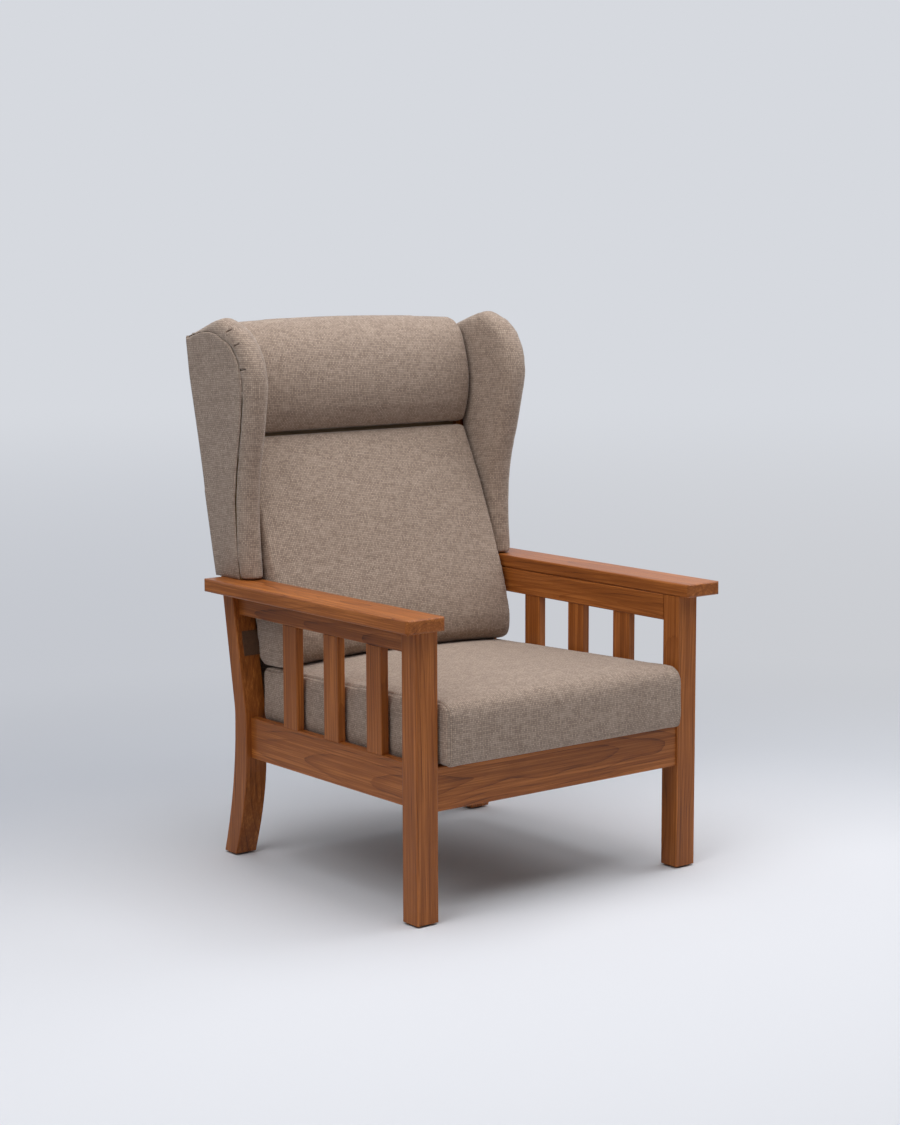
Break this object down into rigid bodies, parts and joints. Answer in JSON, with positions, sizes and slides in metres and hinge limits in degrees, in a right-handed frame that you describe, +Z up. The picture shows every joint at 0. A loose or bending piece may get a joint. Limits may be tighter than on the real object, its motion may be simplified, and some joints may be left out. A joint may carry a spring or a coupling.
{
  "type": "fireside chair",
  "caption": "High-backed fireside chair with upholstered wings, a head roll, a loose seat cushion, and open slatted wooden arms on square front legs and swept back legs.",
  "frame": {"origin": "on the floor, in the middle of the chair's width and depth", "axes": "+X to the right seen from the front, +Y towards the back, +Z up"},
  "size_m": [0.786, 0.7954, 1.113],
  "materials": {
    "show_wood": "satin",
    "inner_wood": "matt",
    "plywood": "matt",
    "cloth": "matt",
    "foam": "matt",
    "webbing": "matt",
    "steel": "satin",
    "zip": "satin",
    "glide": "matt"
  },
  "bodies": {
    "frame": {"front_leg_left": "show_wood", "front_leg_right": "show_wood", "back_post_left": "show_wood", "back_post_right": "show_wood", "side_rail_left": "show_wood", "side_rail_right": "show_wood", "arm_rail_left": "show_wood", "arm_rail_right": "show_wood", "arm_slat_left_1": "show_wood", "arm_slat_left_2": "show_wood", "arm_slat_left_3": "show_wood", "arm_slat_right_1": "show_wood", "arm_slat_right_2": "show_wood", "arm_slat_right_3": "show_wood", "arm_top_left": "show_wood", "arm_top_right": "show_wood", "arm_screws": "steel", "front_rail": "show_wood", "back_seat_rail": "show_wood", "back_lower_rail": "inner_wood", "back_middle_rail": "inner_wood", "back_top_rail": "inner_wood", "corner_blocks": "inner_wood", "corner_block_screws": "steel", "seat_webbing": "webbing", "back_webbing": "webbing", "wing_board_left": "plywood", "wing_board_right": "plywood", "wing_screws": "steel", "wing_pad_left": "cloth", "wing_pad_right": "cloth", "wing_panel_left": "cloth", "wing_panel_right": "cloth", "outside_back_panel": "cloth", "lower_back_panel": "cloth", "back_cushion_cover": "cloth", "back_cushion_foam": "foam", "head_roll_cover": "cloth", "head_roll_foam": "foam", "glide_front_left": "glide", "glide_front_right": "glide", "glide_back_left": "glide", "glide_back_right": "glide"},
    "seat_cushion": {"seat_cushion_cover": "cloth", "seat_cushion_foam": "foam", "seat_cushion_zip": "zip"}
  },
  "joints": [
    {"name": "seat_cushion_pull_out", "type": "slide", "parent": "frame", "child": "seat_cushion", "axis": [0, -1, 0], "range_m": [0, 0.65]}
  ]
}
